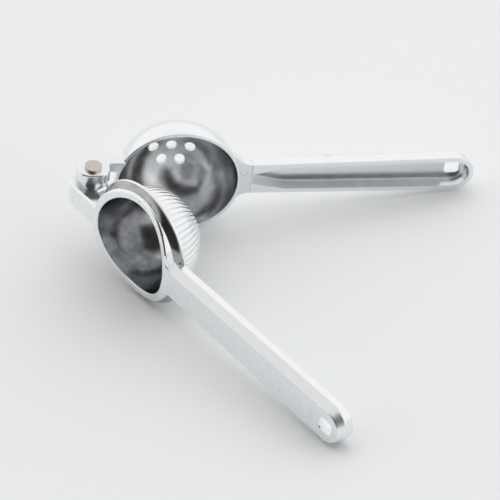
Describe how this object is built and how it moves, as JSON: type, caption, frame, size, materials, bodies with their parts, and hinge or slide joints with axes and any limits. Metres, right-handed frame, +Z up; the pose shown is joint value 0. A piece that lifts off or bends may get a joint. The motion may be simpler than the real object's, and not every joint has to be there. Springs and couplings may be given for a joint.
{
  "type": "lemon squeezer",
  "caption": "Hinged hand squeezer lying open on its side: a fluted dome on one arm pushes half a lemon into the holed strainer cup on the other.",
  "frame": {"origin": "centre of the underside of the tool's box, on the table that the tool lies on", "axes": "+Z up from the table, +X along the strainer arm from hinge to handle tip, seen from above, and +Y the way that the strainer cup bulges; the hinge axis leans 9.8 degrees from +Z, because the tool rests on its cups and its handle tips"},
  "size_m": [0.227, 0.2256, 0.0709],
  "materials": {
    "cast_aluminium": "polished",
    "pin_steel": "satin"
  },
  "bodies": {
    "strainer_arm": {"strainer_arm": "cast_aluminium", "hinge_pin": "pin_steel"},
    "press_arm": {"press_arm": "cast_aluminium"}
  },
  "joints": [
    {"name": "squeeze_hinge", "type": "hinge", "parent": "strainer_arm", "child": "press_arm", "pos_m": [-0.10062, 0.07224, 0.04242], "axis": [0.1492, -0.0812, 0.9855], "range_deg": [-62.9, 60.1]}
  ]
}
